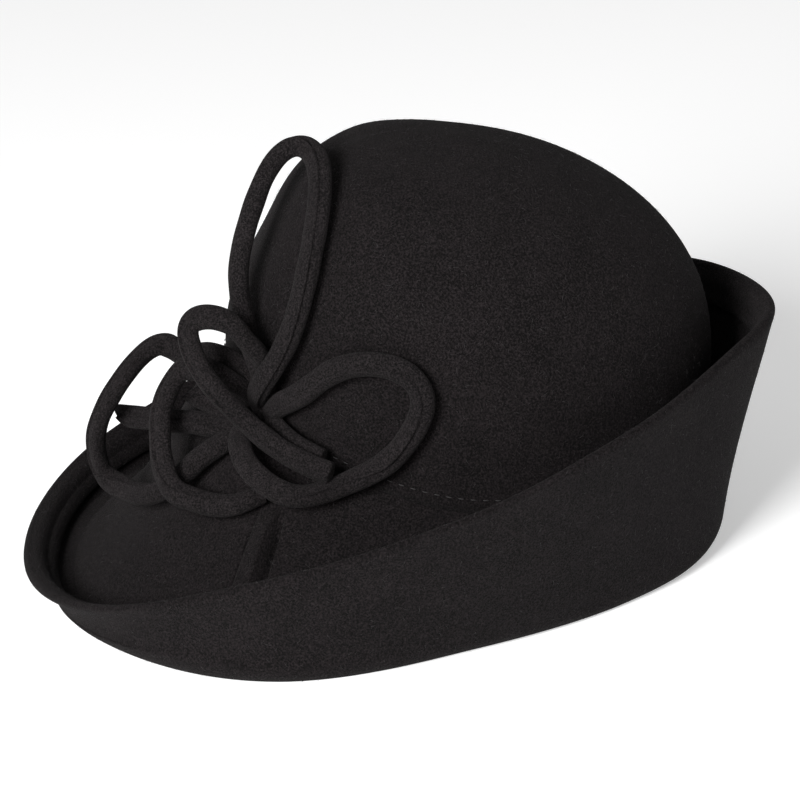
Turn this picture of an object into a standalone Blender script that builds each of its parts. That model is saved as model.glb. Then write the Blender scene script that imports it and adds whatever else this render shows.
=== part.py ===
"""A black wool felt cloche hat with a turned-up brim and a trim of rolled felt loops.

The front of the hat faces -Y, its back +Y and the trimmed side +X. It rests on the fold of its brim at Z = 0.
The origin is the middle of the whole hat in plan, and the head line's middle lies HEAD_BACK behind it.
Angles go round the head line in degrees: 0 at the front, 90 at the trimmed side, 180 at the back.
Stations go down the outside of the hat: -1 at the top of the crown, 0 at the seam, 1 at the rim.
"""
import bpy
import numpy as np

# Felt
FELT = 0.0022
SEWN_GAP = 0.0003
REST_FLAT = 0.0006

# Crown
HEAD_LENGTH = 0.200
HEAD_WIDTH = 0.168
HEAD_LINE_HEIGHT = 0.092
CROWN_RISE = 0.089
CROWN_LEAN = 0.026
CROWN_SWELL = 0.012
HEAD_BACK = 0.0314

# Brim
BRIM_REACH = 0.090
CUFF_HEIGHT = 0.093
FOLD_RADIUS = 0.010
SLOPE_SWELL = 0.003
RIM_FLARE = 0.003
HEM_WIDTH = 0.0145
TUCK_ANGLE = 49.0
TUCK_WIDTH = 0.0075
TUCK_RISE = 0.0016

# Trim
TUBE_WIDTH = 0.0092
TUBE_NECK = 0.55
NECK_LENGTH = 0.016
CORE_RADIUS = 0.0040

# Heights as shares of HEAD_LINE_HEIGHT, swell as a share of CROWN_SWELL
CROWN_COLUMNS = ("angle", "head_up", "squareness", "swell")
CROWN_SECTIONS = (
    (0, 1.00, 2.00, -0.13),
    (30, 0.89, 2.20, 0.00),
    (60, 0.66, 2.40, 0.17),
    (90, 0.49, 2.40, 0.31),
    (120, 0.50, 2.20, 0.52),
    (150, 0.62, 2.10, 0.81),
    (180, 0.69, 2.05, 1.00),
)

# Outs as shares of BRIM_REACH, ups of CUFF_HEIGHT, roundness of FOLD_RADIUS, flare of RIM_FLARE
BRIM_COLUMNS = ("angle", "fold_out", "fold_up", "roundness", "rim_out", "rim_up", "flare")
BRIM_SECTIONS = (
    (0, 0.83, 0.00, 1.00, 1.00, 0.09, 0.85),
    (30, 0.85, 0.00, 1.00, 1.01, 0.18, 1.00),
    (60, 0.73, 0.00, 1.00, 0.85, 0.455, 0.85),
    (90, 0.31, 0.00, 0.90, 0.60, 0.68, 0.55),
    (120, 0.10, 0.00, 0.80, 0.40, 0.875, 0.65),
    (150, 0.04, 0.03, 0.60, 0.28, 0.99, 0.80),
    (180, 0.00, 0.12, 0.55, 0.32, 1.00, 0.90),
)

# Mesh density
COLUMNS_ROUND = 60
CROWN_ROWS = 12
ROWS_TO_FOLD = 1.8
SLOPE_ROWS = 6
CUFF_ROWS = 5
HEM_ROWS = 2
ARC_POINTS = 24
LOOP_POINTS = 34
TAIL_POINTS = 8
CORE_SIDES = 16

# Colours, linear
BLACK_FELT = (0.0142, 0.0130, 0.0134)
BLACK_TUBE = (0.0180, 0.0168, 0.0172)
FELT_ROUGHNESS = 0.95


def share_at(table, columns, name, angle):
    """Smooth closed curve through one column of a table whose rows run from the front to the back."""
    rows = [dict(zip(columns, row)) for row in table]
    rows += [dict(row, angle=360 - row["angle"]) for row in reversed(rows[1:-1])]
    known = np.array([row["angle"] for row in rows] + [360.0])
    value = np.array([row[name] for row in rows] + [rows[0][name]])
    step = np.diff(known)
    rise = np.diff(value) / step
    slope = (rise + np.roll(rise, 1)) / 2
    slope = np.append(slope, slope[0])
    turned = np.mod(angle, 360.0)
    k = np.clip(np.searchsorted(known, turned, side="right") - 1, 0, len(step) - 1)
    t = (turned - known[k]) / step[k]
    return ((2 * t**3 - 3 * t**2 + 1) * value[k] + (t**3 - 2 * t**2 + t) * slope[k] * step[k]
            + (3 * t**2 - 2 * t**3) * value[k + 1] + (t**3 - t**2) * slope[k + 1] * step[k])


def crown_share(name, angle):
    return share_at(CROWN_SECTIONS, CROWN_COLUMNS, name, angle)


def brim_share(name, angle):
    return share_at(BRIM_SECTIONS, BRIM_COLUMNS, name, angle)


def unit(way):
    return way / np.linalg.norm(way)


def left_of(way):
    return np.array([-way[1], way[0]])


def head_ring(angle):
    """Point of the oval head line and its outward normal, both in plan."""
    turn = np.radians(angle)
    half = np.array([HEAD_WIDTH / 2, HEAD_LENGTH / 2])
    way = np.array([np.sin(turn), -np.cos(turn)])
    return way * half, unit(way / half)


def crown_point(angle, rise):
    """Outer face of the crown: rise is 0 at the head line and 1 at the top."""
    ring, normal = head_ring(angle)
    head_up = HEAD_LINE_HEIGHT * crown_share("head_up", angle)
    power = 2 / crown_share("squareness", angle)
    quarter = rise * np.pi / 2
    across = np.cos(quarter) ** power
    up = np.sin(quarter) ** power
    swell = CROWN_SWELL * crown_share("swell", angle) * np.sin(np.pi * rise)
    plan = (ring + normal * swell) * across
    top = HEAD_LINE_HEIGHT + CROWN_RISE
    leaned = plan[1] - CROWN_LEAN * (1 - across)
    return np.array([plan[0], leaned + HEAD_BACK, head_up + (top - head_up) * up])


def parabola(start, middle, end):
    """Points of a curve that leaves start towards middle and comes to end from middle."""
    t = np.linspace(0, 1, ARC_POINTS)[:, None]
    return (1 - t) ** 2 * start + 2 * t * (1 - t) * middle + t**2 * end


def touch_turn(point, centre, radius, side):
    """Turn at which a straight line from a point touches the round fold, on one side or the other."""
    way = point - centre
    return np.arctan2(way[1], way[0]) + side * np.arccos(radius / np.linalg.norm(way))


def brim_section(angle):
    """Under face of the brim at one angle, as (out, up) points: slope, round fold and flared cuff."""
    seam_up = HEAD_LINE_HEIGHT * crown_share("head_up", angle) - SEWN_GAP
    fold_up = CUFF_HEIGHT * max(brim_share("fold_up", angle), 0.0)
    radius = FOLD_RADIUS * brim_share("roundness", angle)
    centre = np.array([BRIM_REACH * brim_share("fold_out", angle), fold_up + radius - REST_FLAT])
    seam = np.array([0.0, seam_up])
    seam = seam - FELT * left_of(unit(centre - seam))
    rim = np.array([BRIM_REACH * brim_share("rim_out", angle), CUFF_HEIGHT * brim_share("rim_up", angle)])
    first = np.mod(touch_turn(seam, centre, radius, 1), 2 * np.pi)
    last = first + np.mod(touch_turn(rim, centre, radius, -1) - first, 2 * np.pi)
    turn = np.linspace(first, last, ARC_POINTS)[:, None]
    fold = centre + radius * np.concatenate([np.cos(turn), np.sin(turn)], 1)
    slope_middle = (seam + fold[0]) / 2 + SLOPE_SWELL * left_of(unit(fold[0] - seam))
    cuff_middle = (fold[-1] + rim) / 2 + RIM_FLARE * brim_share("flare", angle) * left_of(unit(rim - fold[-1]))
    path = np.concatenate([parabola(seam, slope_middle, fold[0]), fold[1:],
                           parabola(fold[-1], cuff_middle, rim)[1:]])
    path[:, 1] = np.maximum(path[:, 1], fold_up)
    return path, fold_up


def along(path, places):
    """Points of a path at given lengths from its start, with the normal to the left of its way there."""
    run = np.concatenate([[0], np.cumsum(np.linalg.norm(np.diff(path, axis=0), axis=1))])
    point = np.stack([np.interp(places, run, path[:, k]) for k in range(2)], 1)
    way = np.gradient(path, run, axis=0)
    way = np.stack([np.interp(places, run, way[:, k]) for k in range(2)], 1)
    way = way / np.linalg.norm(way, axis=1)[:, None]
    return point, np.stack([-way[:, 1], way[:, 0]], 1)


def brim_places(path, fold_up):
    """Lengths along a section where the mesh has its rows, and how many layers of felt lie there."""
    run = np.concatenate([[0], np.cumsum(np.linalg.norm(np.diff(path, axis=0), axis=1))])
    resting = run[path[:, 1] <= fold_up]
    hem = max(run[-1] - HEM_WIDTH, resting[-1] + FELT)
    slope = resting[0] * (1 - np.linspace(1, 0, SLOPE_ROWS + 1) ** ROWS_TO_FOLD)
    flat = [(resting[0] + resting[-1]) / 2]
    cuff = resting[-1] + (hem - resting[-1]) * np.linspace(0, 1, CUFF_ROWS + 1) ** ROWS_TO_FOLD
    turned_in = np.linspace(hem + SEWN_GAP, run[-1], HEM_ROWS + 1)
    places = np.concatenate([slope, flat, cuff, turned_in])
    layers = np.where(places > hem, 2, 1)
    return places, layers


def tuck_rise(angle, places):
    """How far the tuck stands proud of the slope: its lap rises gently and ends in a sharp edge."""
    ring, _ = head_ring(TUCK_ANGLE)
    lap = np.degrees(TUCK_WIDTH / (np.linalg.norm(ring) + BRIM_REACH / 2))
    before = (TUCK_ANGLE - angle) / lap
    rise = TUCK_RISE if 0 <= before < 0.8 else 0.0
    return np.where((places > places[1]) & (places < places[SLOPE_ROWS]), rise, 0.0)


def section_angles():
    """Angles of the brim's columns: even ones, and a close set that draws the tuck."""
    ring, _ = head_ring(TUCK_ANGLE)
    lap = np.degrees(TUCK_WIDTH / (np.linalg.norm(ring) + BRIM_REACH / 2))
    even = np.arange(COLUMNS_ROUND) * 360 / COLUMNS_ROUND
    even = even[(even < TUCK_ANGLE - 1.4 * lap) | (even > TUCK_ANGLE + 0.6 * lap)]
    return np.sort(np.concatenate([even, TUCK_ANGLE + lap * np.array([-1.0, -0.75, 0.0, 0.1])]))


def in_hat(angle, section):
    """Places (out, up) points of a section at their angle round the head line."""
    ring, normal = head_ring(angle)
    plan = ring + section[:, :1] * normal + np.array([0.0, HEAD_BACK])
    return np.concatenate([plan, section[:, 1:]], 1)


def hat_face(angle, station):
    """Point and outward normal on the outside of the hat, on the crown or on the upper face of the brim."""
    ring, normal = head_ring(angle)
    if station < 0:
        small = 0.001
        point = crown_point(angle, -station)
        round_way = crown_point(angle + 1, -station) - point
        up_way = crown_point(angle, small - station) - point
        return point, unit(np.cross(round_way, up_way))
    path, _ = brim_section(angle)
    length = np.sum(np.linalg.norm(np.diff(path, axis=0), axis=1))
    flat, way = along(path, [station * length])
    point = in_hat(angle, flat + FELT * way)[0]
    return point, unit(np.array([*(way[0, 0] * normal), way[0, 1]]))


def smooth_curve(knots, count):
    """Evenly spaced points of a smooth curve through the knots."""
    knots = np.asarray(knots)
    ends = knots[[0]] * 2 - knots[[1]], knots[[-1]] * 2 - knots[[-2]]
    held = np.concatenate([ends[0], knots, ends[1]])
    fine = []
    for k in range(1, len(held) - 2):
        t = np.linspace(0, 1, 16, endpoint=False)[:, None]
        start, end = (held[k + 1] - held[k - 1]) / 2, (held[k + 2] - held[k]) / 2
        fine.append((2 * t**3 - 3 * t**2 + 1) * held[k] + (t**3 - 2 * t**2 + t) * start
                    + (3 * t**2 - 2 * t**3) * held[k + 1] + (t**3 - t**2) * end)
    fine = np.concatenate(fine + [knots[[-1]]])
    run = np.concatenate([[0], np.cumsum(np.linalg.norm(np.diff(fine, axis=0), axis=1))])
    places = np.linspace(0, run[-1], count)
    return np.stack([np.interp(places, run, fine[:, k]) for k in range(3)], 1)


# Each row: angle, station on the hat, and how many tube widths the strand's middle lies above the felt there
TRIM_COLUMNS = ("angle", "station", "tubes")
TRIM = {
    "loop_tall": (
        (35, -0.12, 0.34), (34, -0.15, 0.54), (33, -0.20, 0.76), (31, -0.25, 0.95), (30, -0.34, 1.36),
        (30, -0.46, 1.66), (25, -0.62, 1.74), (27, -0.72, 1.63), (42, -0.72, 1.14), (51, -0.60, 0.82),
        (52, -0.44, 0.65), (50, -0.30, 0.65), (47, -0.21, 0.75), (42, -0.12, 1.03), (37, -0.06, 0.72),
        (34, -0.02, 0.36),
    ),
    "loop_upper": (
        (38, -0.14, 0.33), (40, -0.17, 0.98), (39, -0.20, 1.63), (38, -0.24, 2.39), (34, -0.24, 3.15),
        (31, -0.21, 3.59), (33, -0.17, 3.66), (35, -0.12, 3.26), (38, -0.08, 2.72), (40, -0.05, 2.17),
        (43, -0.03, 1.85), (49, -0.02, 1.68), (54, -0.02, 1.63), (58, -0.02, 1.58), (61, -0.02, 1.50),
    ),
    "loop_left": (
        (31, -0.10, 0.33), (29, -0.13, 0.54), (25, -0.13, 0.87), (18, -0.11, 1.30), (12, -0.05, 2.00),
        (8, 0.07, 2.72), (7, 0.13, 3.10), (10, 0.21, 3.50), (12, 0.31, 3.60), (11, 0.40, 3.10),
        (10, 0.49, 1.96), (10, 0.51, 1.30), (13, 0.49, 0.76), (19, 0.45, 0.62), (24, 0.39, 0.60),
        (27, 0.31, 0.60), (28, 0.25, 0.60), (30, 0.19, 0.50), (31, 0.13, 0.34),
    ),
    "loop_middle": (
        (32, -0.05, 0.36), (32, -0.08, 1.03), (32, -0.10, 1.36), (29, -0.12, 1.70), (25, -0.11, 2.15),
        (21, -0.06, 2.45), (20, 0.11, 2.61), (22, 0.19, 2.61), (25, 0.25, 2.39), (27, 0.31, 1.85),
        (31, 0.35, 1.41), (35, 0.33, 0.98), (38, 0.31, 0.66), (42, 0.27, 0.58), (44, 0.23, 0.48),
        (46, 0.19, 0.34),
    ),
    "loop_right": (
        (41, -0.04, 0.34), (44, -0.07, 0.50), (51, -0.12, 0.58), (60, -0.20, 0.58), (69, -0.24, 0.58),
        (78, -0.24, 0.58), (82, -0.20, 0.58), (80, -0.14, 0.58), (73, -0.06, 0.66), (63, 0.05, 0.87),
        (58, 0.13, 1.20), (54, 0.17, 1.52), (48, 0.17, 1.63), (42, 0.15, 1.52), (38, 0.11, 1.20),
        (34, 0.09, 0.80),
    ),
    "tail_left": ((7, 0.33, 2.17), (12, 0.27, 1.52), (18, 0.21, 1.05), (23, 0.16, 0.70), (27, 0.145, 0.29)),
    "tail_back": ((18, 0.11, 1.40), (20, 0.105, 1.00), (22, 0.095, 0.60), (24, 0.085, 0.31)),
    "tail_right": ((43, -0.02, 0.32), (47, -0.02, 0.46), (51, -0.02, 0.48), (57, -0.02, 0.34)),
}
CORE_PLACE = (39, 0.07)


def strand_path(name):
    """Middle line of one strand of the trim."""
    rows = [dict(zip(TRIM_COLUMNS, row)) for row in TRIM[name]]
    knots = []
    for row in rows:
        point, normal = hat_face(row["angle"], row["station"])
        knots.append(point + TUBE_WIDTH * row["tubes"] * normal)
    return smooth_curve(knots, LOOP_POINTS if name.startswith("loop") else TAIL_POINTS)


def clear_scene():
    for item in list(bpy.data.objects):
        bpy.data.objects.remove(item, do_unlink=True)


def felt(name, colour):
    material = bpy.data.materials.new(name)
    material.use_nodes = True
    surface = material.node_tree.nodes["Principled BSDF"]
    surface.inputs["Base Color"].default_value = (*colour, 1.0)
    surface.inputs["Roughness"].default_value = FELT_ROUGHNESS
    return material


def add_mesh(name, points, faces, material):
    mesh = bpy.data.meshes.new(name)
    mesh.from_pydata([tuple(point) for point in points], [], faces)
    mesh.validate()
    mesh.materials.append(material)
    item = bpy.data.objects.new(name, mesh)
    bpy.context.scene.collection.objects.link(item)
    return item


def ring_faces(columns, rows, close_rows):
    """Quads of a grid whose points run column by column, closed round its columns."""
    faces = []
    for column in range(columns):
        beside = (column + 1) % columns
        for row in range(rows if close_rows else rows - 1):
            above = (row + 1) % rows
            faces.append((column * rows + row, beside * rows + row, beside * rows + above, column * rows + above))
    return faces


def add_crown(material):
    """Dome of one thickness of felt, open below: each column runs up the outside and down the inside."""
    rises = np.arange(CROWN_ROWS) / CROWN_ROWS
    points = []
    for angle in np.arange(COLUMNS_ROUND) * 360 / COLUMNS_ROUND:
        outside = [hat_face(angle, -rise) if rise else hat_face(angle, -SEWN_GAP) for rise in rises]
        points += [point - FELT * normal for point, normal in reversed(outside)]
        points += [point for point, _ in outside]
    rows = 2 * CROWN_ROWS
    faces = ring_faces(COLUMNS_ROUND, rows, False)
    top = crown_point(0, 1)
    points += [top - [0, 0, FELT], top]
    inner_pole, outer_pole = len(points) - 2, len(points) - 1
    for column in range(COLUMNS_ROUND):
        beside = (column + 1) % COLUMNS_ROUND
        faces.append((beside * rows, column * rows, inner_pole))
        faces.append((column * rows + rows - 1, beside * rows + rows - 1, outer_pole))
    return add_mesh("crown", points, faces, material)


def add_brim(material):
    """One felt sheet from the seam down the slope, round the fold and up the cuff to its turned-in hem."""
    points = []
    for angle in section_angles():
        path, fold_up = brim_section(angle)
        places, layers = brim_places(path, fold_up)
        under, way = along(path, places)
        over = under + (FELT * layers + tuck_rise(angle, places))[:, None] * way
        crest = (under[-1] + over[-1]) / 2 + FELT * np.array([way[-1, 1], -way[-1, 0]])
        points.append(in_hat(angle, np.concatenate([under, [crest], over[::-1]])))
    faces = ring_faces(len(points), len(points[0]), True)
    return add_mesh("brim", np.concatenate(points), faces, material)


def add_strand(name, material):
    """Rolled felt tube along one middle line, drawn in at its sewn ends."""
    path = strand_path(name)
    run = np.concatenate([[0], np.cumsum(np.linalg.norm(np.diff(path, axis=0), axis=1))])
    from_end = np.minimum(run, run[-1] - run)
    curve = bpy.data.curves.new(name, "CURVE")
    curve.dimensions = "3D"
    curve.bevel_depth = TUBE_WIDTH / 2
    curve.bevel_resolution = 2
    curve.use_fill_caps = True
    line = curve.splines.new("POLY")
    line.points.add(len(path) - 1)
    for place, point, far in zip(line.points, path, from_end):
        place.co = (*point, 1.0)
        place.radius = TUBE_NECK + (1 - TUBE_NECK) * min(far / NECK_LENGTH, 1.0)
    curve.materials.append(material)
    item = bpy.data.objects.new(name, curve)
    bpy.context.scene.collection.objects.link(item)
    return item


def add_core(over, material):
    """Short felt core that carries the strand above it: a plain round piece between the hat and that strand."""
    angle, station = CORE_PLACE
    foot, _ = hat_face(angle, station)
    down_way = hat_face(angle, 2 * station)[0] - foot
    round_way = hat_face(angle + 1, station)[0] - foot
    normal = unit(np.cross(down_way, round_way))
    reach = over - foot
    nearest = reach[np.argmin(np.linalg.norm(reach, axis=1))]
    axis = unit(nearest)
    side = unit(np.cross(axis, [0.0, 0.0, 1.0]))
    turn = np.arange(CORE_SIDES)[:, None] * 2 * np.pi / CORE_SIDES
    ring = CORE_RADIUS * (np.cos(turn) * side + np.sin(turn) * np.cross(axis, side))
    bottom = foot + SEWN_GAP * normal + ring - np.outer(ring @ normal / (axis @ normal), axis)
    top = foot + nearest - (TUBE_WIDTH / 2 + SEWN_GAP) * axis + ring
    points = np.concatenate([bottom, top])
    faces = [(k, (k + 1) % CORE_SIDES, CORE_SIDES + (k + 1) % CORE_SIDES, CORE_SIDES + k)
             for k in range(CORE_SIDES)]
    faces += [tuple(range(CORE_SIDES - 1, -1, -1)), tuple(range(CORE_SIDES, 2 * CORE_SIDES))]
    return add_mesh("trim_base", points, faces, material)


clear_scene()
hat_felt = felt("wool_felt", BLACK_FELT)
tube_felt = felt("rolled_wool_felt", BLACK_TUBE)
add_crown(hat_felt)
add_brim(hat_felt)
for strand in TRIM:
    add_strand(strand, tube_felt)
add_core(strand_path("loop_upper"), tube_felt)
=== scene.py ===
"""Black wool felt cloche hat: a blocked crown, a wide turned-up brim and a trim of rolled felt loops."""
import bmesh
import bpy
import numpy as np
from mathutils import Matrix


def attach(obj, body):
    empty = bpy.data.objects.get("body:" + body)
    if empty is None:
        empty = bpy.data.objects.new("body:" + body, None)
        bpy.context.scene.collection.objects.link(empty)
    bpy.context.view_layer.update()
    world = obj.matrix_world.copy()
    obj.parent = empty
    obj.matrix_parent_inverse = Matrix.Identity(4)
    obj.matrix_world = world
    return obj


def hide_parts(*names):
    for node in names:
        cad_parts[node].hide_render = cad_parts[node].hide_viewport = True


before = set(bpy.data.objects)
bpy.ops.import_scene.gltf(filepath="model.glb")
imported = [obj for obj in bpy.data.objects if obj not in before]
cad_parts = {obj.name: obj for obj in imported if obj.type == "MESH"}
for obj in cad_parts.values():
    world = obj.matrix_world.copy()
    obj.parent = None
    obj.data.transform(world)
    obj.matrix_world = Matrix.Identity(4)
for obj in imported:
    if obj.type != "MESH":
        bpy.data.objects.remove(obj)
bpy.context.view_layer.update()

# Camera: a long lens at eye height on the trimmed side of the hat, turned a little about its own axis.
# The head's middle lies behind the middle of the whole hat, so the camera is set out from there.
HEAD_BACK = 0.0314
LENS_DISTANCE = 1.8
LENS_LENGTH = 194.4
LENS_AROUND, LENS_UP, LENS_ROLL = np.radians([91.95, 20.82, 4.09])
FRAMING = (-0.0818, -0.0810)

back = np.array([np.sin(LENS_AROUND) * np.cos(LENS_UP), -np.cos(LENS_AROUND) * np.cos(LENS_UP), np.sin(LENS_UP)])
level = np.array([np.cos(LENS_AROUND), np.sin(LENS_AROUND), 0.0])
upright = np.cross(back, level)
right = np.cos(LENS_ROLL) * level - np.sin(LENS_ROLL) * upright
up = np.sin(LENS_ROLL) * level + np.cos(LENS_ROLL) * upright
place = np.eye(4)
place[:3, 0], place[:3, 1], place[:3, 2] = right, up, back
place[:3, 3] = np.array([0.0, HEAD_BACK, 0.090]) + LENS_DISTANCE * back
camera = bpy.data.objects.new("camera", bpy.data.cameras.new("camera"))
bpy.context.scene.collection.objects.link(camera)
camera.matrix_world = place.T.tolist()
camera.data.lens = LENS_LENGTH
camera.data.shift_x, camera.data.shift_y = FRAMING
camera.data.clip_end = 20.0
bpy.context.scene.camera = camera

# Crown: one cone of wool felt, steamed and pulled over a wooden block, so it has no seam of its own.
# It leans to the front, swells over the back of the head and is sewn to the brim along the head line.
FELT = 0.0022
SEWN_GAP = 0.0003
HEAD_LENGTH = 0.200
HEAD_WIDTH = 0.168
HEAD_LINE_HEIGHT = 0.092
CROWN_RISE = 0.089
CROWN_LEAN = 0.026
CROWN_SWELL = 0.012
BLOCKED_DENTS = 0.0004
FRONT_PRESSED = 0.0045
CROWN_COLUMNS = ("angle", "head_up", "squareness", "swell")
CROWN_SECTIONS = (
    (0, 1.00, 2.00, -0.13),
    (30, 0.89, 2.20, 0.00),
    (60, 0.66, 2.40, 0.17),
    (90, 0.49, 2.40, 0.31),
    (120, 0.50, 2.20, 0.52),
    (150, 0.62, 2.10, 0.81),
    (180, 0.69, 2.05, 1.00),
)


def share_at(table, columns, name, angle):
    """One column of a table as a smooth closed curve of the angle round the head, the far side a mirror image.

    Between two rows it is the cubic whose ends have the rows' values and the mean slope of their neighbours.
    """
    rows = [dict(zip(columns, row)) for row in table]
    rows += [dict(row, angle=360 - row["angle"]) for row in reversed(rows[1:-1])]
    known = np.array([row["angle"] for row in rows] + [360.0])
    value = np.array([row[name] for row in rows] + [rows[0][name]])
    step = np.diff(known)
    rise = np.diff(value) / step
    slope = (rise + np.roll(rise, 1)) / 2
    slope = np.append(slope, slope[0])
    turned = np.mod(angle, 360.0)
    k = np.clip(np.searchsorted(known, turned, side="right") - 1, 0, len(step) - 1)
    t = (turned - known[k]) / step[k]
    return ((2 * t**3 - 3 * t**2 + 1) * value[k] + (t**3 - 2 * t**2 + t) * slope[k] * step[k]
            + (3 * t**2 - 2 * t**3) * value[k + 1] + (t**3 - t**2) * slope[k + 1] * step[k])


def unit(way):
    """Each vector over its own length."""
    return way / np.linalg.norm(way, axis=-1, keepdims=True)


def head_oval(angle):
    """Points (half width times sine, minus half length times cosine) of the head line, and their outward normals."""
    turn = np.radians(angle)
    half = np.array([HEAD_WIDTH, HEAD_LENGTH]) / 2
    way = np.stack([np.sin(turn), -np.cos(turn)], -1)
    return way * half, unit(way / half)


def crown_points(angle, rise):
    """Head oval drawn in by a power of the cosine of the rise, while the height grows by the same power of its sine.

    The oval first swells along its normals by the sine of the rise, and the plan leans to the front as it draws in.
    """
    ring, normal = head_oval(angle)
    head_up = HEAD_LINE_HEIGHT * share_at(CROWN_SECTIONS, CROWN_COLUMNS, "head_up", angle)
    power = 2 / share_at(CROWN_SECTIONS, CROWN_COLUMNS, "squareness", angle)
    across = np.cos(rise * np.pi / 2).clip(0) ** power
    climb = np.sin(rise * np.pi / 2) ** power
    swell = CROWN_SWELL * share_at(CROWN_SECTIONS, CROWN_COLUMNS, "swell", angle) * np.sin(np.pi * rise)
    plan = (ring + normal * swell[..., None]) * across[..., None]
    height = head_up + (HEAD_LINE_HEIGHT + CROWN_RISE - head_up) * climb
    return np.stack([plan[..., 0], plan[..., 1] - CROWN_LEAN * (1 - across) + HEAD_BACK, height], -1)


def grid_normals(grid):
    """Cross product of a closed grid's slopes along its first and its second way."""
    along = np.roll(grid, -1, axis=0) - np.roll(grid, 1, axis=0)
    across = np.gradient(grid, axis=1)
    return unit(np.cross(along, across) + 1e-15)


def lay_mesh(name, grid, ring_closed, rows_closed, material):
    """Mesh of one quad per cell of a grid of points, smooth, with coinciding points of seams and poles merged."""
    index = np.arange(grid.shape[0] * grid.shape[1]).reshape(grid.shape[:2])
    index = np.concatenate([index, index[:1]]) if ring_closed else index
    index = np.concatenate([index, index[:, :1]], 1) if rows_closed else index
    quads = np.stack([index[:-1, :-1], index[1:, :-1], index[1:, 1:], index[:-1, 1:]], -1).reshape(-1, 4)
    mesh = bpy.data.meshes.new(name)
    mesh.from_pydata(grid.reshape(-1, 3).tolist(), [], quads.tolist())
    work = bmesh.new()
    work.from_mesh(mesh)
    bmesh.ops.remove_doubles(work, verts=work.verts, dist=1e-6)
    work.to_mesh(mesh)
    work.free()
    mesh.validate()
    mesh.shade_smooth()
    mesh.materials.append(material)
    piece = bpy.data.objects.new(name, mesh)
    bpy.context.scene.collection.objects.link(piece)
    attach(piece, "root")
    return piece


def linear(hex_colour):
    """sRGB hex to linear: below 0.04045 over 12.92, else ((c + 0.055) / 1.055) to the power 2.4, per channel."""
    c = np.array([int(hex_colour[k:k + 2], 16) / 255 for k in (1, 3, 5)])
    return (*np.where(c <= 0.04045, c / 12.92, ((c + 0.055) / 1.055) ** 2.4), 1.0)


def add_node(tree, kind, settings=(), **links):
    """Adds one node with its settings, and links or sets its inputs by name, with underscores for spaces."""
    node = tree.nodes.new(kind)
    for key, value in dict(settings).items():
        setattr(node, key, value)
    for key, value in links.items():
        socket = node.inputs[int(key[1:])] if key[0] == "i" and key[1:].isdigit() else node.inputs[key.replace("_", " ")]
        if isinstance(value, bpy.types.NodeSocket):
            tree.links.new(value, socket)
        else:
            socket.default_value = value
    return node


def wool_felt(name, shade, light_shade, fibre_shade, nap, grain_mm, sheen):
    """Felted wool: matted fibres with no weave, matte, with a short nap that catches light at grazing angles.

    Grain is a noise of the clumps' real size, fibres are thin bands of a warped noise, and both shade and lift it.
    """
    material = bpy.data.materials.new(name)
    material.use_nodes = True
    tree = material.node_tree
    surface = tree.nodes["Principled BSDF"]
    place = add_node(tree, "ShaderNodeTexCoord").outputs["Object"]
    clumps = add_node(tree, "ShaderNodeTexNoise", Vector=place, Scale=1000 / grain_mm, Detail=3.0, Roughness=0.65)
    cloud = add_node(tree, "ShaderNodeTexNoise", Vector=place, Scale=1000 / 24.0, Detail=5.0, Roughness=0.75)
    curl = add_node(tree, "ShaderNodeTexNoise", Vector=place, Scale=1000 / (2.4 * grain_mm), Detail=1.0, Distortion=2.0)
    near = add_node(tree, "ShaderNodeMath", {"operation": "SUBTRACT"}, i0=curl.outputs["Fac"], i1=0.5)
    near = add_node(tree, "ShaderNodeMath", {"operation": "ABSOLUTE"}, i0=near.outputs[0])
    fibre = add_node(tree, "ShaderNodeMapRange", Value=near.outputs[0], From_Min=0.0, From_Max=0.02, To_Min=1.0,
                     To_Max=0.0)
    speckle = add_node(tree, "ShaderNodeMapRange", Value=clumps.outputs["Fac"], From_Min=0.42, From_Max=0.68)
    mottle = add_node(tree, "ShaderNodeMath", {"operation": "MULTIPLY_ADD"}, i0=cloud.outputs["Fac"], i1=0.55,
                      i2=-0.28)
    spread = add_node(tree, "ShaderNodeMath", {"operation": "ADD", "use_clamp": True}, i0=mottle.outputs[0],
                      i1=speckle.outputs[0])
    body = add_node(tree, "ShaderNodeMix", {"data_type": "RGBA"}, Factor=spread.outputs[0], i6=linear(shade),
                    i7=linear(light_shade))
    faint = add_node(tree, "ShaderNodeMath", {"operation": "MULTIPLY"}, i0=fibre.outputs[0], i1=0.20)
    haired = add_node(tree, "ShaderNodeMix", {"data_type": "RGBA"}, Factor=faint.outputs[0], i6=body.outputs[2],
                      i7=linear(fibre_shade))
    height = add_node(tree, "ShaderNodeMath", {"operation": "MULTIPLY_ADD"}, i0=fibre.outputs[0], i1=0.12,
                      i2=clumps.outputs["Fac"])
    lift = add_node(tree, "ShaderNodeBump", Strength=1.0, Distance=nap, Height=height.outputs[0])
    tree.links.new(haired.outputs[2], surface.inputs["Base Color"])
    tree.links.new(lift.outputs["Normal"], surface.inputs["Normal"])
    surface.inputs["Roughness"].default_value = 1.0
    surface.inputs["Specular IOR Level"].default_value = 0.10
    surface.inputs["Sheen Weight"].default_value = sheen
    surface.inputs["Sheen Roughness"].default_value = 0.22
    surface.inputs["Sheen Tint"].default_value = linear("#8a8686")
    return material


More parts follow.
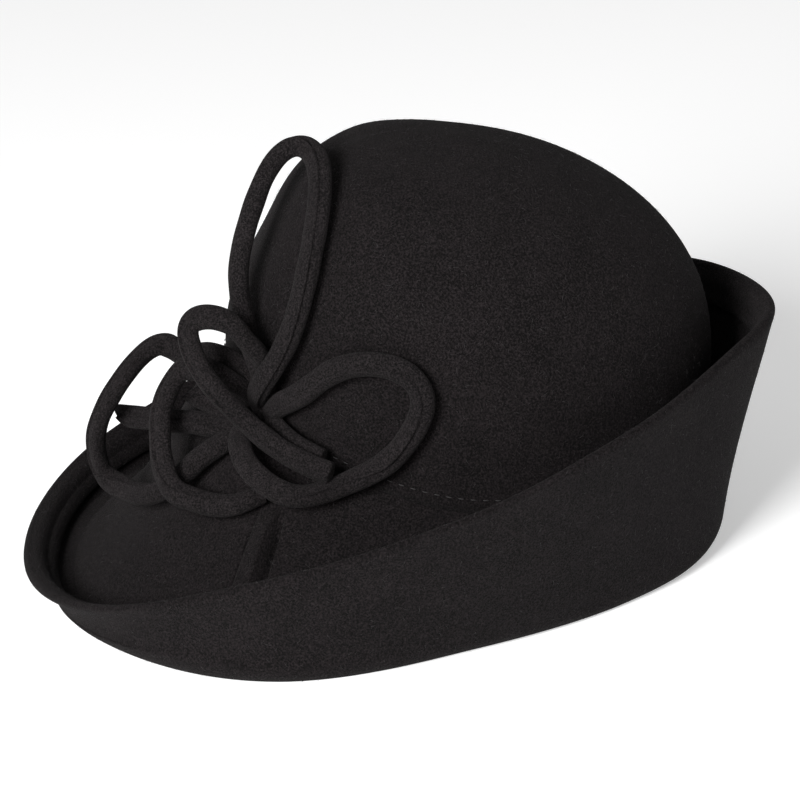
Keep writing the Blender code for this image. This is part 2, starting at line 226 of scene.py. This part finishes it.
hat_felt = wool_felt("blocked_wool_felt", "#070606", "#231f20", "#3a3537", 0.0009, 0.8, 0.06)
around = np.arange(240) * 360 / 240
rises = np.concatenate([np.linspace(0, 0.04, 5), np.linspace(0.04, 1, 76)[1:]])
outside = crown_points(*np.meshgrid(around, rises, indexing="ij"))
facing = grid_normals(outside)
facing[:, -1] = (0.0, 0.0, 1.0)
turn = np.radians(around)[:, None]
dents = BLOCKED_DENTS * (np.sin(3 * turn + 5 * rises) + np.sin(5 * turn - 9 * rises + 1.3)) * np.sin(np.pi * rises)
at_front = np.exp(-(((around + 190) % 360 - 180) / 38) ** 2)[:, None]
pressed = FRONT_PRESSED * at_front * np.exp(-((rises - 0.42) / 0.2) ** 2)
outside = outside + (dents - pressed)[..., None] * facing
crown = lay_mesh("crown_felt", np.concatenate([(outside - FELT * facing)[:, ::-1], outside], 1), True, False, hat_felt)
crown_skin = outside[:, 4:]
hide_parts("crown")

# Crown seam: the crown is sewn to the brim by hand with running stitches of grey-black thread.
# Each stitch shows for about 2.3 mm just above the crease and dives into the felt between.
STITCH_PITCH = 0.0049
STITCH_LENGTH = 0.0024
THREAD_RADIUS = 0.00019
STITCH_RISE = 0.016


def sewing_thread(name, shade):
    """Mercerised cotton thread: a tight twist of two plies, with a low sheen along each ply from its roughness; its
    colour is painted shade and light in slanting bands across the twist.
    """
    material = bpy.data.materials.new(name)
    material.use_nodes = True
    tree = material.node_tree
    surface = tree.nodes["Principled BSDF"]
    place = add_node(tree, "ShaderNodeTexCoord").outputs["Object"]
    plies = add_node(tree, "ShaderNodeTexWave", {"bands_direction": "DIAGONAL"}, Vector=place, Scale=1000 / 0.8)
    # Painted shade and light: the colour runs from the dark shade between the plies to a lighter grey along each ply.
    painted_ply_shade = add_node(tree, "ShaderNodeMix", {"data_type": "RGBA"}, Factor=plies.outputs["Fac"], i6=linear(shade),
                       i7=linear("#252223"))
    lift = add_node(tree, "ShaderNodeBump", Strength=0.4, Distance=0.0001, Height=plies.outputs["Fac"])
    tree.links.new(painted_ply_shade.outputs[2], surface.inputs["Base Color"])
    tree.links.new(lift.outputs["Normal"], surface.inputs["Normal"])
    surface.inputs["Roughness"].default_value = 0.6
    return material


def carry_ring(path, normals, width, depth, ring_count):
    """Oval profile carried along paths: the point plus cosine times half width aside and sine times half depth out."""
    tangent = unit(np.gradient(path, axis=-2))
    aside = unit(np.cross(tangent, normals))
    out = np.cross(aside, tangent)
    theta = np.arange(ring_count) * 2 * np.pi / ring_count
    theta = theta.reshape((ring_count,) + (1,) * (path.ndim))
    return path + width[..., None] / 2 * np.cos(theta) * -aside + depth[..., None] / 2 * np.sin(theta) * out


fine = np.linspace(0, 360, 2881)
seam = crown_points(fine, np.full(fine.shape, STITCH_RISE))
run = np.concatenate([[0], np.cumsum(np.linalg.norm(np.diff(seam, axis=0), axis=1))])
count = int(run[-1] / STITCH_PITCH)
step = (np.arange(count)[:, None] * run[-1] / count + STITCH_LENGTH * np.linspace(-0.5, 0.5, 9))
stitch_angle = np.interp(np.mod(step, run[-1]), run, fine)
bow = 1 - np.linspace(-1, 1, 9) ** 4
stitch_path = crown_points(stitch_angle, np.full(step.shape, STITCH_RISE))
_, plan_out = head_oval(stitch_angle)
outward = unit(np.concatenate([plan_out, np.full(step.shape + (1,), 0.1)], -1))
stitch_path = stitch_path + (0.0001 + 0.0003 * bow)[None, :, None] * outward
thick = np.broadcast_to(2 * THREAD_RADIUS * np.sqrt(bow.clip(0.001)), step.shape)
threads = np.moveaxis(carry_ring(stitch_path, outward, thick, thick, 8), 0, 1)
thread_grey = sewing_thread("cotton_thread", "#1e1c1d")
work = np.concatenate([threads, threads[:, :1]], 1)
quads = np.arange(threads.shape[0] * 9 * 9).reshape(-1, 9, 9)
quads = np.stack([quads[:, :-1, :-1], quads[:, 1:, :-1], quads[:, 1:, 1:], quads[:, :-1, 1:]], -1).reshape(-1, 4)
stitch_mesh = bpy.data.meshes.new("crown_seam_stitches")
stitch_mesh.from_pydata(work.reshape(-1, 3).tolist(), [], quads.tolist())
welded = bmesh.new()
welded.from_mesh(stitch_mesh)
bmesh.ops.remove_doubles(welded, verts=welded.verts, dist=1e-6)
bmesh.ops.holes_fill(welded, edges=[edge for edge in welded.edges if edge.is_boundary], sides=8)
welded.to_mesh(stitch_mesh)
welded.free()
stitch_mesh.shade_smooth()
stitch_mesh.materials.append(thread_grey)
stitches = bpy.data.objects.new("crown_seam_stitches", stitch_mesh)
bpy.context.scene.collection.objects.link(stitches)
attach(stitches, "root")

# Brim: one sheet of wool felt from the head line down a slope, round a soft steamed fold and up a flared cuff.
# Its edge is turned in and stitched down, so the hem is two layers thick, with a raw edge and a sewn groove.
BRIM_REACH = 0.090
CUFF_HEIGHT = 0.093
FOLD_RADIUS = 0.010
REST_FLAT = 0.0006
SLOPE_SWELL = 0.003
RIM_FLARE = 0.003
HEM_WIDTH = 0.0145
HEM_MOST = 0.90
HEM_GROOVE = 0.55
GROOVE_WIDTH = 0.08
TUCK_ANGLE = 49.0
TUCK_WIDTH = 4.0
TUCK_SKEW = 3.2
TUCK_RISE = 0.0036
TUCK_SINK = 0.0045
SEAM_LAP = 0.0014
HANDLED = 0.0007
DISH_DEPTH = 0.006
BRIM_COLUMNS = ("angle", "fold_out", "fold_up", "roundness", "rim_out", "rim_up", "flare")
BRIM_SECTIONS = (
    (0, 0.83, 0.00, 1.00, 1.00, 0.09, 0.85),
    (30, 0.85, 0.00, 1.00, 1.01, 0.18, 1.00),
    (60, 0.73, 0.00, 1.00, 0.85, 0.455, 0.85),
    (90, 0.31, 0.00, 0.90, 0.60, 0.68, 0.55),
    (120, 0.10, 0.00, 0.80, 0.40, 0.875, 0.65),
    (150, 0.04, 0.03, 0.60, 0.28, 0.99, 0.80),
    (180, 0.00, 0.12, 0.55, 0.32, 1.00, 0.90),
)


def left_of(way):
    """Plane vectors turned a quarter to the left."""
    return np.stack([-way[..., 1], way[..., 0]], -1)


def bowed(start, middle, end, t):
    """(1 - t) squared of start, 2 t (1 - t) of middle and t squared of end: a curve that both ends aim at middle."""
    t = t[..., None]
    return (1 - t) ** 2 * start[:, None] + 2 * t * (1 - t) * middle[:, None] + t**2 * end[:, None]


def brim_profile(angle, slope_rows, fold_rows, cuff_rows, hem_rows):
    """Under face of the brim as (out, up) for each angle: bowed slope, arc of the fold and bowed cuff to the rim.

    Slope and cuff leave the arc where a straight line from the seam or the rim touches it. The arc is cut off level
    where the hat rests. Rows of the hem stand at set distances from the rim, which come back with the points.
    """
    shares = {name: share_at(BRIM_SECTIONS, BRIM_COLUMNS, name, angle) for name in BRIM_COLUMNS[1:]}
    seam_up = HEAD_LINE_HEIGHT * share_at(CROWN_SECTIONS, CROWN_COLUMNS, "head_up", angle) - SEWN_GAP
    fold_up = CUFF_HEIGHT * shares["fold_up"].clip(0)
    radius = FOLD_RADIUS * shares["roundness"]
    centre = np.stack([BRIM_REACH * shares["fold_out"], fold_up + radius - REST_FLAT], -1)
    seam = np.stack([np.zeros_like(angle), seam_up], -1)
    seam = seam - FELT * left_of(unit(centre - seam)) - SEAM_LAP * unit(centre - seam)
    rim = np.stack([BRIM_REACH * shares["rim_out"], CUFF_HEIGHT * shares["rim_up"]], -1)

    def touch(point, side):
        way = point - centre
        return np.arctan2(way[:, 1], way[:, 0]) + side * np.arccos(radius / np.linalg.norm(way, axis=1))

    first = np.mod(touch(seam, 1), 2 * np.pi)
    last = first + np.mod(touch(rim, -1) - first, 2 * np.pi)
    turn = first[:, None] + (last - first)[:, None] * np.linspace(0, 1, fold_rows)
    fold = centre[:, None] + radius[:, None, None] * np.stack([np.cos(turn), np.sin(turn)], -1)
    start, end = fold[:, 0], fold[:, -1]
    slope_middle = (seam + start) / 2 + SLOPE_SWELL * left_of(unit(start - seam))
    cuff_middle = (end + rim) / 2 + RIM_FLARE * shares["flare"][:, None] * left_of(unit(rim - end))
    cuff_length = np.linalg.norm(rim - end, axis=1)[:, None]
    hem_place = np.concatenate([[1.03, 1.0, 0.985], np.linspace(0.96, 0, hem_rows)])
    hem_t = 1 - hem_place * np.minimum(HEM_WIDTH / cuff_length, HEM_MOST)
    cuff_t = np.linspace(0, 1, cuff_rows + 1)[1:-1] * hem_t[:, :1]
    slope = bowed(seam, slope_middle, start, np.broadcast_to(np.linspace(0, 1, slope_rows), (len(angle), slope_rows)))
    cuff = bowed(end, cuff_middle, rim, np.concatenate([cuff_t, hem_t], 1))
    path = np.concatenate([slope, fold[:, 1:], cuff], 1)
    path[..., 1] = np.maximum(path[..., 1], fold_up[:, None])
    from_rim = np.concatenate([np.full(path.shape[1] - len(hem_place), 2.0), hem_place])
    return path, from_rim


def in_hat(angle, section):
    """Carries (out, up) points to their angles: the head oval's point plus out times its normal, and up."""
    ring, normal = head_oval(angle)
    return np.concatenate([ring + section[..., :1] * normal + np.array([0.0, HEAD_BACK]), section[..., 1:]], -1)


even = np.arange(300) * 360 / 300
even = even[(even < TUCK_ANGLE - 1.3 * TUCK_WIDTH) | (even > TUCK_ANGLE + 0.6 * TUCK_WIDTH)]
pleated = TUCK_ANGLE + TUCK_WIDTH * np.array([-1.2, -1.12, -1.06, -1.0, -0.96, -0.92, -0.8, -0.6, -0.4, -0.2, -0.06, 0, 0.03, 0.15, 0.3, 0.42, 0.55])
brim_angles = np.sort(np.concatenate([even, pleated]))
path, from_rim = brim_profile(brim_angles, 44, 26, 30, 20)
ways = np.gradient(path, axis=1)
facing = left_of(unit(ways))
lap = (TUCK_ANGLE - brim_angles) / TUCK_WIDTH
pleat = np.interp(lap, [-0.55, -0.30, -0.03, 0.0, 0.08, 0.8, 0.92, 1.0, 1.12], [0, -0.50, -0.50, 1, 1.05, 0.45, 0.30, -0.35, 0])
down_slope = np.arange(path.shape[1]) / 44
along_tuck = np.interp(down_slope, [0.30, 0.42, 1.1, 1.5], [0, 1, 1, 0])
sink = TUCK_SINK * np.interp(lap, [-0.55, -0.36, -0.05, 0.0], [0, 1, 1, 0])[:, None]
sink = sink * np.interp(down_slope, [0.30, 0.42, 0.86, 0.99], [0, 1, 1, 0])
pleat = pleat[:, None] * along_tuck
layers = np.interp(from_rim, [0.98, 1.0], [2.0, 1.0])
groove = 0.06 * np.exp(-((from_rim - HEM_GROOVE) / GROOVE_WIDTH) ** 2)
puff = 0.40 * np.sin(np.pi * np.clip(from_rim / HEM_GROOVE, 0, 1)) + 0.20 * np.sin(np.pi * np.clip((from_rim - HEM_GROOVE) / (1 - HEM_GROOVE), 0, 1))
turn = np.radians(brim_angles)[:, None]
row = np.linspace(0, 1, path.shape[1])
soft = HANDLED * np.sin(np.pi * row) ** 0.5 * (np.sin(4 * turn + 7 * row) + 0.7 * np.sin(7 * turn - 5 * row + 2) + 0.4 * np.sin(13 * turn + 11 * row))
soft = soft * np.clip(path[..., 1] / 0.012, 0, 1)
from_front = (brim_angles + 185) % 360 - 180
dish = DISH_DEPTH * np.exp(-(from_front / 38) ** 2)[:, None] * 28.9 * down_slope.clip(0, 1) ** 3 * (1 - down_slope.clip(0, 1)) ** 2
under = path + (soft - dish - sink)[..., None] * facing
thickness = FELT * (layers + np.where(from_rim < 1, puff - groove, 0.0)) + TUCK_RISE * pleat
over = under + thickness[..., None] * facing
edge_way = unit(under[:, -1] - under[:, -2])
half = (over[:, -1] - under[:, -1]) / 2
theta = np.linspace(0, np.pi, 12)[1:-1][None, :, None]
crest = (under[:, -1] + half)[:, None] - half[:, None] * np.cos(theta) + edge_way[:, None] * FELT * 1.25 * np.sin(theta)
section = np.concatenate([under, crest, over[:, ::-1]], 1)
near_tuck = np.exp(-((brim_angles - TUCK_ANGLE) / 14) ** 2)[:, None]
leant = brim_angles[:, None] + TUCK_SKEW * near_tuck * np.interp(down_slope, [0.3, 1.0, 1.5], [0, 1, 0])
leant = np.concatenate([leant, np.repeat(brim_angles[:, None], crest.shape[1], 1), leant[:, ::-1]], 1)
brim_skin = in_hat(leant, section)
brim = lay_mesh("brim_felt", brim_skin, True, True, hat_felt)
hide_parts("brim")

# Trim: five loops and three short ends of felt strip, rolled into tubes about 10 by 8 mm and slip-stitched shut.
# They stand off the hat in a spray and are sewn down at their ends, where the tubes are drawn in.
TUBE_WIDTH = 0.0092
TUBE_WIDE = 1.08
TUBE_DEEP = 0.82
TUBE_NECK = 0.80
NECK_LENGTH = 0.016
TUBE_EASE = 32
LAP_PLACE = 2.1
LAP_STEP = 0.22
LAP_TWIST = 6.0
CUT_ROUND = 0.07
TUBE_WOBBLE = 0.025
CUT_FADE = 0.009
FREE_ENDS = {"loop_upper": (TUBE_NECK, 1.0, 0.0), "tail_left": (1.0, TUBE_NECK, -1.3),
             "tail_back": (1.0, TUBE_NECK, 0.5), "tail_right": (TUBE_NECK, 1.0, 0.0)}
TRIM_COLUMNS = ("angle", "station", "tubes")
TRIM = {
    "loop_tall": (
        (37, -0.06, 0.26), (35, -0.12, 0.34), (34, -0.15, 0.54), (33, -0.20, 0.76), (31, -0.25, 0.95), (30, -0.34, 1.36),
        (30, -0.46, 1.66), (25, -0.62, 1.74), (27, -0.72, 1.63), (42, -0.72, 1.14), (51, -0.60, 0.82),
        (52, -0.44, 0.65), (50, -0.30, 0.65), (47, -0.21, 0.75), (42, -0.12, 1.03), (37, -0.06, 0.72),
        (35, -0.03, 0.42), (38, -0.01, 0.36),
    ),
    "loop_upper": (
        (39, -0.05, 0.26), (38, -0.12, 0.33), (40, -0.17, 0.98), (39, -0.20, 1.63), (38, -0.24, 2.39), (34, -0.24, 3.15),
        (31, -0.21, 3.59), (33, -0.17, 3.66), (35, -0.12, 3.26), (38, -0.08, 2.72), (40, -0.05, 2.17),
        (43, -0.03, 1.85), (49, -0.02, 1.68), (54, -0.02, 1.63), (58, -0.02, 1.58), (61, -0.02, 1.50),
    ),
    "loop_left": (
        (36, -0.04, 0.26), (32, -0.07, 0.33), (29, -0.09, 0.54), (25, -0.09, 0.87), (18, -0.07, 1.30), (12, -0.03, 2.00),
        (8, 0.07, 2.72), (7, 0.13, 3.10), (10, 0.21, 3.50), (12, 0.31, 3.60), (11, 0.40, 3.10),
        (10, 0.485, 1.96), (11, 0.50, 1.38), (14, 0.48, 0.90), (19, 0.45, 0.68), (24, 0.39, 0.60),
        (27, 0.31, 0.60), (28, 0.25, 0.60), (30, 0.19, 0.52), (32, 0.13, 0.40), (35, 0.08, 0.30),
    ),
    "loop_middle": (
        (36, -0.01, 0.26), (33, -0.04, 0.40), (32, -0.06, 1.00), (31, -0.07, 1.36), (29, -0.08, 1.70), (25, -0.07, 2.15),
        (21, -0.06, 2.45), (20, 0.11, 2.61), (22, 0.19, 2.61), (25, 0.25, 2.39), (27, 0.31, 1.85),
        (31, 0.35, 1.41), (35, 0.33, 0.98), (38, 0.31, 0.66), (42, 0.27, 0.58), (44, 0.23, 0.48),
        (46, 0.19, 0.34),
    ),
    "loop_right": (
        (37, -0.01, 0.30), (40, -0.03, 0.36), (44, -0.07, 0.50), (51, -0.12, 0.58), (60, -0.20, 0.58), (69, -0.24, 0.58),
        (78, -0.24, 0.58), (82, -0.20, 0.58), (80, -0.14, 0.58), (73, -0.06, 0.66), (63, 0.05, 0.87),
        (58, 0.13, 1.20), (54, 0.17, 1.52), (48, 0.17, 1.63), (42, 0.15, 1.52), (38, 0.11, 1.20),
        (35, 0.085, 0.85), (36, 0.05, 0.50),
    ),
    "tail_left": ((7, 0.33, 2.17), (12, 0.27, 1.52), (18, 0.21, 1.05), (23, 0.16, 0.72), (28, 0.13, 0.42), (33, 0.08, 0.30)),
    "tail_back": ((18, 0.11, 1.40), (20, 0.105, 1.00), (22, 0.095, 0.60), (27, 0.08, 0.36), (32, 0.05, 0.28)),
    "tail_right": ((39, -0.02, 0.34), (43, -0.02, 0.60), (47, -0.02, 0.80), (51, -0.02, 0.88), (57, -0.02, 0.82)),
}


def felt_place(angle, station, tubes):
    """Point so many tube widths off the felt at an angle and a station, and the way out of the felt there."""
    ring, normal = head_oval(np.array(angle))
    if station < 0:
        near = crown_points(np.array([angle, angle + 1.0, angle]), np.array([-station, -station, 0.001 - station]))
        out = unit(np.cross(near[1] - near[0], near[2] - near[0]))
        return near[0] + TUBE_WIDTH * tubes * out, out
    path, _ = brim_profile(np.array([float(angle)]), 60, 40, 60, 20)
    run = np.concatenate([[0], np.cumsum(np.linalg.norm(np.diff(path[0], axis=0), axis=1))])
    ways = left_of(unit(np.gradient(path[0], run, axis=0)))
    there = np.array([np.interp(station * run[-1], run, path[0, :, k]) for k in range(2)])
    way = unit(np.array([np.interp(station * run[-1], run, ways[:, k]) for k in range(2)]))
    felt_top = there + FELT * way
    point = np.array([*(ring + felt_top[0] * normal + [0.0, HEAD_BACK]), felt_top[1]])
    out = unit(np.array([*(way[0] * normal), way[1]]))
    return point + TUBE_WIDTH * tubes * out, out


def through(knots, count):
    """Evenly spaced points of cubics through the knots, each with the mean of its neighbours' steps as its slope."""
    held = np.concatenate([knots[[0]] * 2 - knots[[1]], knots, knots[[-1]] * 2 - knots[[-2]]])
    t = np.linspace(0, 1, 16, endpoint=False)[:, None]
    slopes = (held[2:] - held[:-2]) / 2
    fine = [(2 * t**3 - 3 * t**2 + 1) * knots[k] + (t**3 - 2 * t**2 + t) * slopes[k]
            + (3 * t**2 - 2 * t**3) * knots[k + 1] + (t**3 - t**2) * slopes[k + 1] for k in range(len(knots) - 1)]
    fine = np.concatenate(fine + [knots[[-1]]])
    run = np.concatenate([[0], np.cumsum(np.linalg.norm(np.diff(fine[:, :3], axis=0), axis=1))])
    places = np.linspace(0, run[-1], count)
    return np.stack([np.interp(places, run, fine[:, k]) for k in range(fine.shape[1])], 1)


def rolled_tube(name, rows, count, material, phase, first_neck, last_neck, slant):
    """Oval profile stepped where the strip's raw edge laps over, carried along the strand and rounded at its cut ends.

    Width and depth waver by a few hundredths in long waves, as hand-rolled felt does, and narrow to the sewn necks.
    The profile's radius falls back to a plain oval round the tube, by a power of e of the angle from the lapped edge.
    """
    placed = [felt_place(*row) for row in rows]
    strand = through(np.array([[*point, *out] for point, out in placed]), count)
    middle, out = strand[:, :3], strand[:, 3:]
    for _ in range(TUBE_EASE):
        middle[1:-1] = (middle[:-2] + 2 * middle[1:-1] + middle[2:]) / 4
        out[1:-1] = (out[:-2] + 2 * out[1:-1] + out[2:]) / 4
    tangent = unit(np.gradient(middle, axis=0))
    run = np.concatenate([[0], np.cumsum(np.linalg.norm(np.diff(middle, axis=0), axis=1))])
    neck = (first_neck + (1 - first_neck) * np.clip(run / NECK_LENGTH, 0, 1)) * (
        last_neck + (1 - last_neck) * np.clip((run[-1] - run) / NECK_LENGTH, 0, 1))
    waver = 1 + TUBE_WOBBLE * (np.sin(run * 260 + phase) + np.sin(run * 410 + 2 * phase)) / 2
    cap = np.linspace(0, np.pi / 2, 7)[:-1]
    inset = CUT_ROUND * TUBE_WIDTH * np.cos(cap)[:, None]
    middle = np.concatenate([middle[0] + (CUT_ROUND * TUBE_WIDTH - inset) * tangent[0],
                             middle[0] + CUT_ROUND * TUBE_WIDTH * tangent[0] + 0 * inset[:1], middle[1:-1],
                             middle[-1] - CUT_ROUND * TUBE_WIDTH * tangent[-1] + 0 * inset[:1],
                             middle[-1] - (CUT_ROUND * TUBE_WIDTH - inset[::-1]) * tangent[-1]])
    kept = np.ones(len(middle), bool)
    kept[7:9] = kept[-9:-7] = False
    size = np.concatenate([np.sin(cap) ** 0.5 * neck[0], neck * waver, np.sin(cap[::-1]) ** 0.5 * neck[-1]])
    out = np.concatenate([np.repeat(out[:1], 6, 0), out, np.repeat(out[-1:], 6, 0)])
    tangent = np.concatenate([np.repeat(tangent[:1], 6, 0), tangent, np.repeat(tangent[-1:], 6, 0)])
    middle, size, out, tangent = middle[kept], size[kept], out[kept], tangent[kept]
    distance = np.concatenate([[0], np.cumsum(np.linalg.norm(np.diff(middle, axis=0), axis=1))])
    aside = unit(np.cross(tangent, out))
    out = np.cross(aside, tangent)
    past = np.concatenate([[0.0, 0.04, 0.12], np.linspace(0.25, 2 * np.pi - 0.12, 34)])[:, None]
    theta = LAP_PLACE + past - LAP_TWIST * distance
    round_out = 1 + LAP_STEP * (np.exp(-past / 0.8) - 0.7 * np.exp(-(2 * np.pi - past) / 0.25)) * (past > 0)
    across = (TUBE_WIDTH / 2 * TUBE_WIDE * round_out * np.cos(theta))[..., None]
    deep = (TUBE_WIDTH / 2 * TUBE_DEEP * round_out * np.sin(theta))[..., None]
    grid = middle + size[:, None] * (across * -aside + deep * out)
    grid = grid + slant * (grid - middle)[..., 2:] * np.exp(-distance / CUT_FADE)[:, None] * tangent
    return lay_mesh(name, grid, True, False, material)


trim_felt = wool_felt("rolled_wool_felt", "#090808", "#2b2728", "#443f41", 0.0009, 0.7, 0.06)
for number, (strand, rows) in enumerate(TRIM.items()):
    necks = FREE_ENDS.get(strand, (TUBE_NECK, TUBE_NECK, 0.0))
    rings = 200 if strand.startswith("loop") else 50
    tube = rolled_tube(strand + "_roll", rows, rings, trim_felt, 1.7 * number, *necks)
    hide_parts(strand)

# Trim core: a short plug of the same felt, sewn under the crossing loop to hold it off the hat.
# It stays hidden in the spray, and its ends are drawn in to points where the felt was cut.
CORE_PLACE = (39, 0.07)
CORE_RADIUS = 0.0040
foot, foot_out = felt_place(*CORE_PLACE, 0.06)
over_core = through(np.array([felt_place(*row)[0] for row in TRIM["loop_upper"]]), 200)
nearest = over_core[np.argmin(np.linalg.norm(over_core - foot, axis=1))]
axis = unit(nearest - foot)
length = np.linalg.norm(nearest - foot) - TUBE_WIDTH / 2
core_path = foot + np.concatenate([[0.02, 0.02, 0.04], np.linspace(0.1, 0.94, 24), [0.98, 1.0, 1.0]])[:, None] * length * axis
core_size = 2 * CORE_RADIUS * np.concatenate([[0.0, 0.8, 0.96], 1 - 0.06 * np.sin(np.linspace(0, np.pi, 24)), [0.96, 0.8, 0.0]])
aside = unit(np.cross(axis, [0.0, 0.0, 1.0]))
theta = (np.arange(24) * 2 * np.pi / 24)[:, None, None]
core_grid = core_path + core_size[:, None] / 2 * (np.cos(theta) * aside + np.sin(theta) * np.cross(axis, aside))
core = lay_mesh("trim_core", core_grid, True, False, trim_felt)
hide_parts("trim_base")

# Nap: loose wool fibres that blocking and wear have worked up out of the felt, some two millimetres long.
# They are the felt's own fibres, held by its matting at one end, and show as a faint fuzz along the outline.
NAP_LENGTH = 0.0021
NAP_WIDTH = 0.00011
NAP_SHARES = ((crown_skin, 2400), (brim_skin, 4800))


def loose_fibres(skin, count, chance):
    """Fibres at random cells of a skin, chosen by area: root plus length times (t lean plus t squared curl)."""
    along = np.roll(skin, -1, axis=0) - np.roll(skin, 1, axis=0)
    normal = np.cross(along, np.gradient(skin, axis=1)).reshape(-1, 3)
    area = np.linalg.norm(normal, axis=1)
    picked = chance.choice(len(area), count, p=area / area.sum())
    out = unit(normal[picked])
    root = skin.reshape(-1, 3)[picked] - 0.0001 * out
    flat = unit(np.cross(out, chance.normal(size=(count, 3))))
    lean = unit(out * chance.uniform(0.3, 1.0, (count, 1)) + flat)
    curl = np.cross(out, flat) * chance.uniform(-0.8, 0.8, (count, 1)) - 0.3 * out
    t = np.linspace(0, 1, 4)[:, None]
    length = NAP_LENGTH * chance.uniform(0.5, 1.3, (count, 1, 1))
    path = root[:, None] + length * (t * lean[:, None] + t**2 * curl[:, None])
    path[..., 2] = np.maximum(path[..., 2], NAP_WIDTH)
    width = np.broadcast_to(NAP_WIDTH * (1 - 0.6 * t[:, 0]), path.shape[:2])
    return np.moveaxis(carry_ring(path, np.repeat(flat[:, None], 4, 1), width, width, 3), 0, 1)


chance = np.random.default_rng(11)
rings = np.concatenate([loose_fibres(skin, count, chance) for skin, count in NAP_SHARES])
cells = np.arange(rings.shape[0] * 12).reshape(-1, 3, 4)
cells = np.concatenate([cells, cells[:, :1]], 1)
quads = np.stack([cells[:, :-1, :-1], cells[:, 1:, :-1], cells[:, 1:, 1:], cells[:, :-1, 1:]], -1).reshape(-1, 4)
ends = np.concatenate([cells[:, :3, 0], cells[:, 2::-1, 3]]).tolist()
fibre_mesh = bpy.data.meshes.new("nap_fibres")
fibre_mesh.from_pydata(rings.reshape(-1, 3).tolist(), [], quads.tolist() + ends)
# The fibres take the thread's material, with its painted shade and light in slanting bands.
fibre_wool = sewing_thread("loose_wool_fibre", "#2a2728")
fibre_mesh.materials.append(fibre_wool)
fibres = bpy.data.objects.new("nap_fibres", fibre_mesh)
bpy.context.scene.collection.objects.link(fibres)
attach(fibres, "root")

# Stage: a plain pale floor and soft studio light from all round, with a large key light over the camera's left.
def soft_light(name, at, size, power):
    """Square area light of a size in metres, aimed at the middle of the hat."""
    light = bpy.data.lights.new(name, "AREA")
    light.size = size
    light.energy = power
    lamp = bpy.data.objects.new(name, light)
    bpy.context.scene.collection.objects.link(lamp)
    away = unit(np.array(at) - np.array([0.0, 0.0, 0.08]))
    aside = unit(np.cross([0.0, 0.0, 1.0], away))
    turned = np.eye(4)
    turned[:3, 0], turned[:3, 1], turned[:3, 2], turned[:3, 3] = aside, np.cross(away, aside), away, at
    lamp.matrix_world = turned.T.tolist()


floor_paint = bpy.data.materials.new("painted_floor")
floor_paint.use_nodes = True
floor_paint.node_tree.nodes["Principled BSDF"].inputs["Base Color"].default_value = linear("#f4f4f4")
floor_paint.node_tree.nodes["Principled BSDF"].inputs["Roughness"].default_value = 0.9
floor_paint.node_tree.nodes["Principled BSDF"].inputs["Emission Color"].default_value = linear("#ffffff")
floor_paint.node_tree.nodes["Principled BSDF"].inputs["Emission Strength"].default_value = 0.34
floor_mesh = bpy.data.meshes.new("floor")
floor_mesh.from_pydata([(-6, -6, 0), (6, -6, 0), (6, 6, 0), (-6, 6, 0)], [], [(0, 1, 2, 3)])
floor_mesh.materials.append(floor_paint)
floor = bpy.data.objects.new("floor", floor_mesh)
bpy.context.scene.collection.objects.link(floor)
studio = bpy.data.worlds.new("studio")
studio.use_nodes = True
studio.node_tree.nodes["Background"].inputs["Color"].default_value = (1.0, 1.0, 1.0, 1.0)
studio.node_tree.nodes["Background"].inputs["Strength"].default_value = 0.24
bpy.context.scene.world = studio
bpy.context.scene.view_settings.view_transform = "Standard"
soft_light("key_light", (2.1, -1.0, 1.2), 1.0, 108.0)
soft_light("fill_light", (1.5, 1.7, 0.9), 1.4, 14.0)
